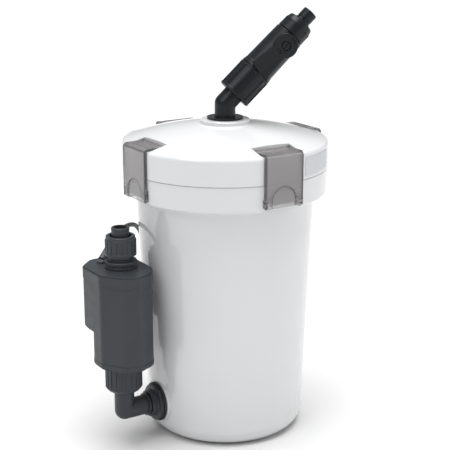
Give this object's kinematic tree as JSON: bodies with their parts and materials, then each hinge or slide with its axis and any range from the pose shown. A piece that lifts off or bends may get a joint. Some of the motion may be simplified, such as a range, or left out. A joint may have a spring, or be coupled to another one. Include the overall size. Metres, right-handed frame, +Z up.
{
  "type": "canister filter",
  "caption": "Round aquarium canister filter with a domed lid held by hinged clips, an angled tap on top and an inline pump on its side.",
  "frame": {"origin": "centre of the canister's flat underside, on the canister's axis at the floor", "axes": "+Z up along the canister's axis; -X towards the side-mounted pump; the tap leans towards +X"},
  "size_m": [0.2659, 0.2276, 0.3621],
  "materials": {
    "white_plastic": "smooth glossy moulded plastic",
    "slate_plastic": "dark slate moulded plastic, satin",
    "black_plastic": "near-black moulded plastic, satin",
    "smoke_plastic": "translucent smoke-grey moulded plastic",
    "black_rubber": "soft matt rubber",
    "silver_label": "thin silver foil label, blank",
    "steel_pin": "plain steel",
    "basket_plastic": "dark grey moulded plastic",
    "sponge": "open-cell foam",
    "ceramic": "unglazed porous ceramic",
    "media_bag": "mesh bag of carbon grains",
    "floss": "white filter floss",
    "inner_plastic": "natural moulded plastic",
    "lamination_steel": "stacked steel sheet",
    "copper_wire": "enamelled copper winding",
    "ferrite": "ferrite magnet",
    "cord_rubber": "flexible dark grey cord jacket",
    "tie_plastic": "thin plastic strap",
    "plug_metal": "nickel-plated plug pins",
    "seat_plastic": "white slippery plastic"
  },
  "bodies": {
    "root": {"canister_body": "white_plastic", "lid": "white_plastic", "lid_seal": "black_rubber", "label_plate": "silver_label", "clip_pins": "steel_pin", "basket_stand": "basket_plastic", "media_basket": "basket_plastic", "basket_cover": "basket_plastic", "coarse_sponge": "sponge", "ceramic_rings": "ceramic", "carbon_bag": "media_bag", "fine_pad": "floss", "port_gasket": "black_rubber", "port_fitting": "slate_plastic", "port_lock_nut": "slate_plastic", "pump_elbow": "slate_plastic", "pump_union_seal": "black_rubber", "pump_bottom_cover": "slate_plastic", "pump_housing": "slate_plastic", "pump_top_cover": "slate_plastic", "flow_tube": "inner_plastic", "stator_core": "lamination_steel", "coil_bobbin": "inner_plastic", "stator_coil": "copper_wire", "impeller_shaft": "ceramic", "shaft_support_lower": "black_rubber", "shaft_support_upper": "black_rubber", "cable_gland": "cord_rubber", "power_cord": "cord_rubber", "power_cord_coil": "cord_rubber", "power_cord_end": "cord_rubber", "cord_tie": "tie_plastic", "plug_body": "cord_rubber", "plug_pins": "plug_metal"},
    "clip_front": {"clip_front": "smoke_plastic"},
    "clip_right": {"clip_right": "smoke_plastic"},
    "clip_rear": {"clip_rear": "smoke_plastic"},
    "clip_left": {"clip_left": "smoke_plastic"},
    "tap": {"tap_elbow": "black_plastic", "tap_lock_ring": "black_plastic", "tap_seal": "black_rubber", "tap_union_seal": "black_rubber", "tap_body": "black_plastic", "tap_ball_seats": "seat_plastic"},
    "tap_valve": {"tap_ball": "inner_plastic", "tap_stem": "inner_plastic", "tap_lever": "black_plastic", "lever_screw": "black_plastic"},
    "tap_union_nut": {"tap_union_nut": "black_plastic"},
    "tap_hose_nut": {"tap_hose_nut": "black_plastic"},
    "pump_union_nut": {"pump_union_nut": "slate_plastic"},
    "pump_outlet_nut": {"pump_outlet_nut": "slate_plastic"},
    "rotor": {"impeller": "inner_plastic", "rotor_magnet": "ferrite"}
  },
  "joints": [
    {"name": "clip_front_hinge", "type": "hinge", "parent": "root", "child": "clip_front", "pos_m": [0, -0.0827, 0.217], "axis": [1, 0, 0], "range_deg": [0, 100]},
    {"name": "clip_right_hinge", "type": "hinge", "parent": "root", "child": "clip_right", "pos_m": [0.0827, 0, 0.217], "axis": [0, 1, 0], "range_deg": [0, 100]},
    {"name": "clip_rear_hinge", "type": "hinge", "parent": "root", "child": "clip_rear", "pos_m": [0, 0.0827, 0.217], "axis": [-1, 0, 0], "range_deg": [0, 100]},
    {"name": "clip_left_hinge", "type": "hinge", "parent": "root", "child": "clip_left", "pos_m": [-0.0827, 0, 0.217], "axis": [0, -1, 0], "range_deg": [0, 100]},
    {"name": "tap_swivel", "type": "hinge", "parent": "root", "child": "tap", "pos_m": [0, 0, 0.2713], "axis": [0, 0, 1], "continuous": true},
    {"name": "tap_lever_turn", "type": "hinge", "parent": "tap", "child": "tap_valve", "pos_m": [0.04587, -0.01535, 0.33237], "axis": [-0.3173, -0.9483, 0], "range_deg": [-79, 11]},
    {"name": "tap_union_nut_turn", "type": "hinge", "parent": "tap", "child": "tap_union_nut", "pos_m": [0.01609, -0.00539, 0.30097], "axis": [0.6706, -0.2244, 0.7071], "continuous": true},
    {"name": "tap_hose_nut_turn", "type": "hinge", "parent": "tap", "child": "tap_hose_nut", "pos_m": [0.05767, -0.0193, 0.34481], "axis": [0.6706, -0.2244, 0.7071], "continuous": true},
    {"name": "pump_union_nut_turn", "type": "hinge", "parent": "root", "child": "pump_union_nut", "pos_m": [-0.1015, 0, 0.062], "axis": [0, 0, 1], "continuous": true},
    {"name": "pump_outlet_nut_turn", "type": "hinge", "parent": "root", "child": "pump_outlet_nut", "pos_m": [-0.1015, 0, 0.176], "axis": [0, 0, 1], "continuous": true},
    {"name": "rotor_spin", "type": "hinge", "parent": "root", "child": "rotor", "pos_m": [-0.1015, 0, 0.114], "axis": [0, 0, 1], "continuous": true}
  ]
}
